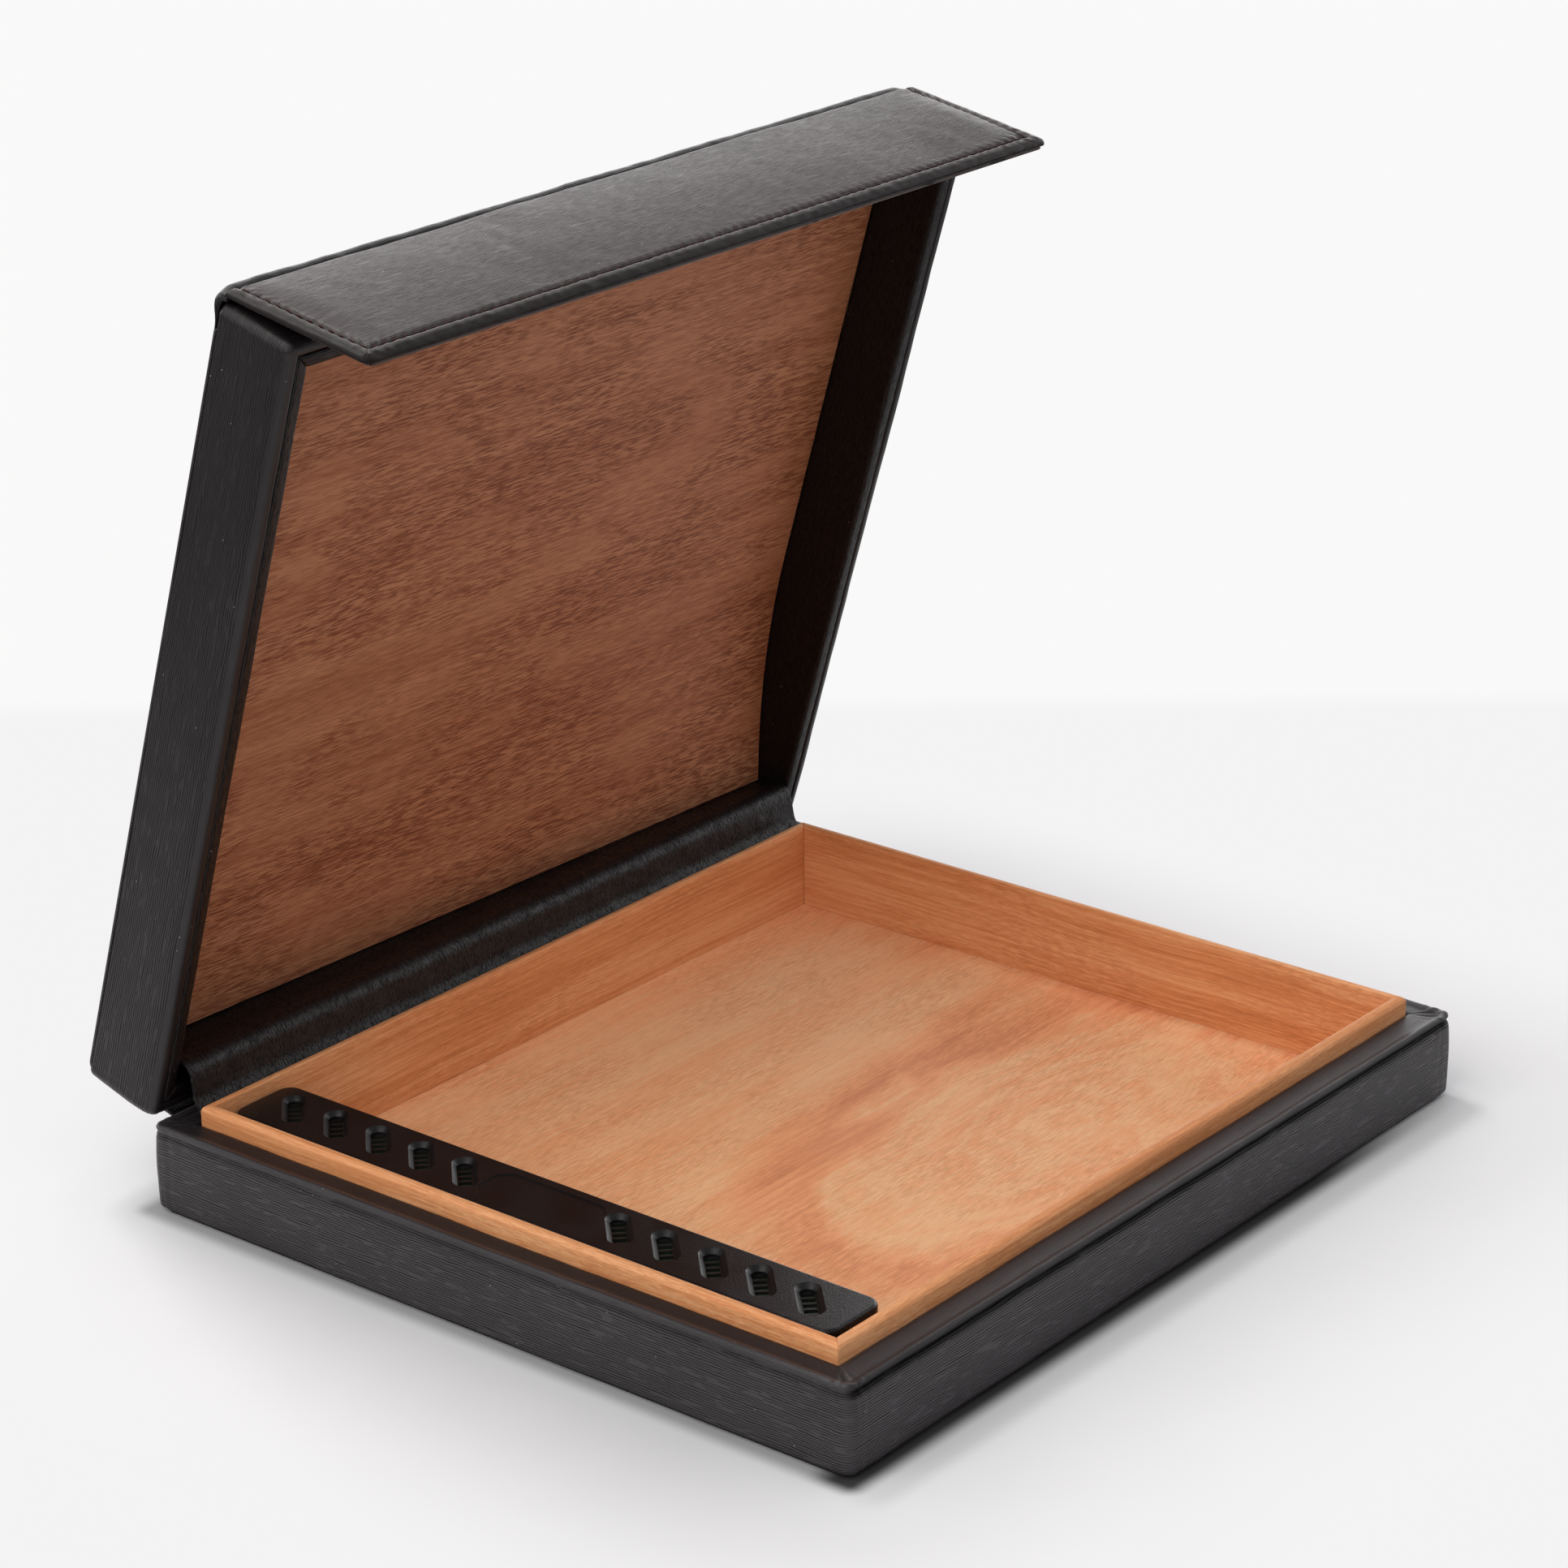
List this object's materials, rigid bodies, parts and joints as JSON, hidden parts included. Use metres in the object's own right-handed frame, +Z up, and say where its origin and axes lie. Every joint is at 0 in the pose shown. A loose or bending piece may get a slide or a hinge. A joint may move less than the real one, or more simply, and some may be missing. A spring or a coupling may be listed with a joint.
{
  "type": "travel humidor",
  "caption": "Flat leather-covered travel humidor with a cedar-lined tray, a hinged lid, a padded closing flap and a slotted humidifier bar.",
  "frame": {"origin": "centre of the base's underside, on the surface it rests on", "axes": "+X along the hinge, away from the humidifier bar; -Y towards the flap side; +Z up"},
  "size_m": [0.25, 0.2367, 0.2389],
  "materials": {
    "outer_leather": "black-brown pressed-grain leather",
    "lining_leather": "thin black lining leather",
    "board": "bare fibreboard",
    "cedar": "sanded unfinished Spanish cedar",
    "padding": "thin foam padding",
    "foam": "open-cell water foam",
    "black_plastic": "finely textured moulding",
    "magnet": "nickel-plated magnet",
    "plate_steel": "thin steel sheet"
  },
  "bodies": {
    "base": {"base_bottom_leather": "outer_leather", "base_bottom_board": "board", "base_front_wall": "board", "base_right_wall": "board", "base_back_wall": "board", "base_left_wall": "board", "base_side_leather": "outer_leather", "cedar_floor": "cedar", "cedar_front_liner": "cedar", "cedar_right_liner": "cedar", "cedar_back_liner": "cedar", "cedar_left_liner": "cedar", "flap_catch_plates": "plate_steel", "humidifier_keeper_plates": "plate_steel"},
    "lid": {"lid_top_board": "board", "lid_front_wall": "board", "lid_right_wall": "board", "lid_back_wall": "board", "lid_left_wall": "board", "lid_side_leather": "outer_leather", "lid_front_lining": "lining_leather", "lid_right_lining": "lining_leather", "lid_back_lining": "lining_leather", "lid_left_lining": "lining_leather", "lid_cedar_panel": "cedar", "lid_top_leather": "outer_leather", "spine_leather": "outer_leather", "inner_hinge_leather": "lining_leather"},
    "flap": {"flap_outer_leather": "outer_leather", "flap_padding": "padding", "flap_stiffener": "board", "flap_magnets": "magnet", "flap_lining": "lining_leather", "flap_fold_leather": "outer_leather"},
    "humidifier": {"humidifier_case": "black_plastic", "humidifier_grille": "black_plastic", "humidifier_foam": "foam", "humidifier_bottom_cover": "black_plastic", "humidifier_magnets": "magnet"}
  },
  "joints": [
    {"name": "lid_hinge", "type": "hinge", "parent": "base", "child": "lid", "pos_m": [0, 0.1075, 0.0235], "axis": [-1, 0, 0], "range_deg": [-73.6, 26.4], "deforming": ["spine_leather", "inner_hinge_leather"]},
    {"name": "flap_hinge", "type": "hinge", "parent": "lid", "child": "flap", "pos_m": [0, 0.06775, 0.23613], "axis": [-1, 0, 0], "range_deg": [-5.6, 169.4], "deforming": ["flap_fold_leather"]},
    {"name": "humidifier_lift", "type": "slide", "parent": "base", "child": "humidifier", "axis": [0, 0, 1], "range_m": [0, 0.0135]}
  ]
}
